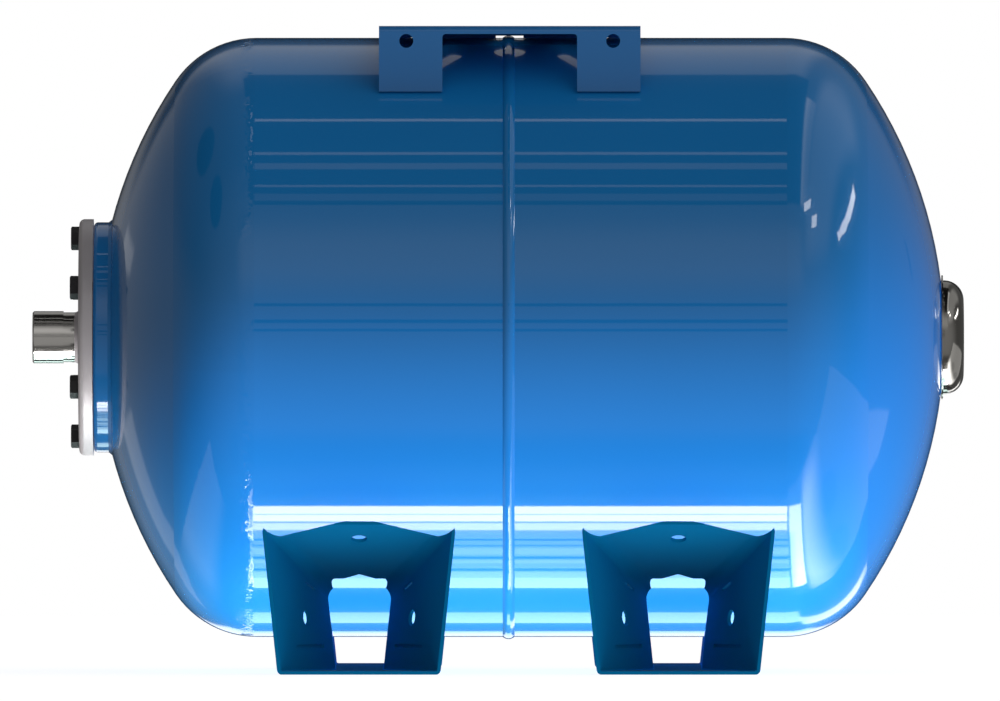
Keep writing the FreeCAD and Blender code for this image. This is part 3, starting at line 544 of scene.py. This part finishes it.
# What else shines in the room: each light is its brightness and its bounds.
LIGHTS = (
    *((level, Band("turn", start, end, 0.4), Band("x", -0.03, 0.03, 0.02)) for start, end, level in CEILING_STRIPS),
    *((level, Band("turn", start, end, 0.5), Band("x", -0.12, 0.11, 0.02)) for start, end, level in BACK_STRIPS),
    # bright frame at the right of the card under the vessel, and the glow that fades from it up the right dish
    (13.0, Band("turn", *CARD_TURNS, 0.6), Band("x", 0.09, 0.24, 0.012)),
    (
        1.0,
        Fade("x", 0.22, 0.30),
        Fade("x", 0.28, 0.62, 5.0, 0.0),
        Fade((-0.9, 0.0, 1.0), -1.2083, -0.9983, 1.0, 0.0),
        side((0.369, -0.853, -0.368)),
    ),
    # strip that shows bent on the right dish
    (
        2.4,
        Band((0.672, -0.485, -0.558), -0.065, 0.065, 0.02),
        Fade("x", 0.09, 0.12),
        Fade("x", 0.36, 0.52, 1.0, 0.0),
        Fade("z", -0.30, -0.25, 1.0, 0.0),
    ),
    # panel at the right
    (
        0.50,
        side((0.577, -0.809, -0.110)),
        side((0.331, 0.489, -0.241)),
        side((-0.186, 0.010, -0.983), 0.008),
        Fade("x", 0.05, 0.12),
    ),
    # floor at the left
    (
        0.55,
        side((0.565, 0.018, -0.825)),
        side((-0.462, 0.887, 0.016)),
        side((-0.857, 0.077, 0.508), 0.10),
        Fade("z", -0.3, -0.2, 1.0, 0.0),
        Fade("y", 0.45, 0.72, 1.0, 0.1),
    ),
    # two parts of a pale frame at the left, beyond the vessel
    (0.32, Band("y", 0.75, 0.85, 0.012), Fade("x", -0.30, -0.20, 1.0, 0.0), Band("z", -0.45, -0.11, 0.01)),
    (0.32, Band("y", 0.75, 0.85, 0.012), Fade("x", -0.30, -0.20, 1.0, 0.0), Band("z", 0.095, 0.135, 0.01)),
    # pale panel beyond the right dish
    (0.36, Band("x", 0.36, 0.74, 0.06), Fade("y", 0.45, 0.8, 1.0, 0.0), Fade("z", 0.38, 0.6)),
    # small window at the right, and two skylights
    (8.0, Band("x", 0.80, 0.90, 0.006), Band("y", -0.29, 0.25, 0.01), Band("z", 0.452, 0.503, 0.004)),
    (7.0, Band("x", 0.31, 0.42, 0.006), Band("z", 0.74, 0.775, 0.004), Fade("y", -0.4, -0.3, 1.0, 0.0)),
    (7.0, Band("x", 0.45, 0.53, 0.006), Band("z", 0.64, 0.69, 0.004), Fade("y", -0.4, -0.3, 1.0, 0.0)),
)
COOL_CARDS = (Band("turn", -160.0, -81.0, 1.5), Band("x", -0.13, 0.13, 0.03))  # the lower cards that have a tint
COOL_TINT = (0.74, 1.0, 0.97)

BACKDROP_WHITE = 1.0
AROUND_LIGHT = (0.03, 0.68)  # matt light from all round: from the left, from the right


def studio_world():
    """White to the camera. To gloss, a room of cards and edges that the paint mirrors. To matt surfaces, a faint
    light from all round."""
    world = bpy.data.worlds.new("studio")
    bpy.context.scene.world = world
    world.use_nodes = True
    world.cycles.sampling_method = "NONE"
    room = Room(world.node_tree)

    mirrored = room.layered(room.mask(WALLS), WALL_LAYERS)
    mirrored = room.lift(mirrored, room.layered(0.0, CARD_LAYERS), [CARD_SIDES])
    for brightness, *bounds in LIGHTS:
        mirrored = room.lift(mirrored, brightness, bounds)
    matt = room.fade(room.measure("x"), -1.0, 1.0, *AROUND_LIGHT, "LINEAR")

    path = room.add("ShaderNodeLightPath").outputs
    lit = room.mix(path["Is Glossy Ray"], matt, mirrored, "FLOAT")
    shown = room.mix(path["Is Camera Ray"], lit, BACKDROP_WHITE, "FLOAT")
    cool = room.math("MULTIPLY", room.mask(COOL_CARDS), path["Is Glossy Ray"])
    light = room.add("ShaderNodeBackground", Color=room.mix(cool, WHITE, COOL_TINT), Strength=shown)
    room.add("ShaderNodeOutputWorld", Surface=light.outputs[0])


# ---------------------------------------------------------------- lamps, floor and camera
VESSEL_PIECES = ("inlet_end_shell", "valve_end_shell", "girth_weld")
COLLAR_PIECES = ("neck_collar", "collar_weld")
FLANGE_PIECES = ("inlet_flange", "nipple_weld")
OTHER_PIECES = tuple(name for name in NODES if name not in VESSEL_PIECES + COLLAR_PIECES + FLANGE_PIECES)

# Tints of the lamps on the vessel: they bring its enamel to the photograph's hue from its middle down.
UNDER_TINT = (1.0, 0.80, 1.0)
COOL_UNDER_TINT = (0.25, 1.0, 0.45)
RIGHT_EDGE_TINT = (0.0, 0.35, 1.0)

FLOOR_HALF = 4.0
FLOOR_GREY = (0.4, 0.4, 0.4)
FLOOR_GLOW = 0.88


def in_scene(name, data):
    """A new object of the scene that carries the data."""
    thing = bpy.data.objects.new(name, data)
    bpy.context.scene.collection.objects.link(thing)
    return thing


def soft_light(name, pieces, toward, strength, spread, colour=WHITE, shadow=False):
    """A distant soft light that shines towards the given direction on the named pieces only."""
    light = bpy.data.lights.new(name, "SUN")
    light.energy = strength
    light.color = colour
    light.angle = math.radians(spread)
    light.use_shadow = shadow
    lamp = in_scene(name, light)
    lamp.rotation_euler = mathutils.Vector(toward).to_track_quat("-Z", "Y").to_euler()
    lamp.visible_glossy = False
    lit = bpy.data.collections.new(name + "_pieces")
    for piece in pieces:
        lit.objects.link(NODES[piece])
    lamp.light_linking.receiver_collection = lit


def studio_floor():
    """A square of white floor at Z = 0 that only the camera sees: it keeps the shadow and reads white elsewhere."""
    mesh = bpy.data.meshes.new("studio_floor")
    corners = [(x * FLOOR_HALF, y * FLOOR_HALF, 0.0) for x, y in ((-1, -1), (1, -1), (1, 1), (-1, 1))]
    mesh.from_pydata(corners, [], [(0, 1, 2, 3)])
    floor = in_scene("studio_floor", mesh)
    material = bpy.data.materials.new("floor_white")
    material.use_nodes = True
    nodes = Nodes(material.node_tree)
    matt = nodes.add("ShaderNodeBsdfDiffuse", Color=FLOOR_GREY)
    glow = nodes.add("ShaderNodeEmission", Color=WHITE, Strength=FLOOR_GLOW)
    surface = nodes.feed_in_order(nodes.add("ShaderNodeAddShader"), (matt.outputs[0], glow.outputs[0]))
    nodes.add("ShaderNodeOutputMaterial", Surface=surface.outputs[0])
    mesh.materials.append(material)
    floor.visible_diffuse = False
    floor.visible_glossy = False
    floor.visible_shadow = False


def photo_camera():
    """Level, looking along +Y at the middle of the picture, from as far as the long lens needs for the
    photograph's scale: the picture's width times the focal length over the sensor's width."""
    lens = bpy.data.cameras.new("photo_camera")
    lens.lens = LENS
    lens.sensor_width = SENSOR
    lens.clip_end = CAMERA_REACH
    camera = in_scene("photo_camera", lens)
    distance = PHOTO_WIDTH * METRES_PER_PIXEL * LENS / SENSOR
    centre_x = (PHOTO_WIDTH / 2 - GIRTH_COLUMN) * METRES_PER_PIXEL
    centre_z = (FLOOR_ROW - PHOTO_HEIGHT / 2) * METRES_PER_PIXEL
    camera.location = (centre_x, -distance, centre_z)
    camera.rotation_euler = (math.radians(90.0), 0.0, 0.0)
    bpy.context.scene.camera = camera


bpy.context.scene.view_settings.view_transform = "Standard"
studio_world()
soft_light("under_light", VESSEL_PIECES, (-0.20, 0.16, 0.96), strength=5.8, spread=24.0, colour=UNDER_TINT)
soft_light("cool_underside_light", VESSEL_PIECES, (0.0, -0.50, 0.87), strength=3.2, spread=30.0, colour=COOL_UNDER_TINT)
soft_light("right_edge_light", VESSEL_PIECES, (-0.60, -0.45, 0.66), strength=2.0, spread=30.0, colour=RIGHT_EDGE_TINT)
soft_light("collar_light", COLLAR_PIECES, (-0.10, 0.10, 0.98), strength=1.5, spread=40.0)
soft_light("flange_light", FLANGE_PIECES, (-0.10, 0.16, 0.95), strength=3.6, spread=40.0)
soft_light("low_light", OTHER_PIECES, (-0.05, 0.35, 0.93), strength=1.8, spread=60.0, shadow=True)
studio_floor()
photo_camera()
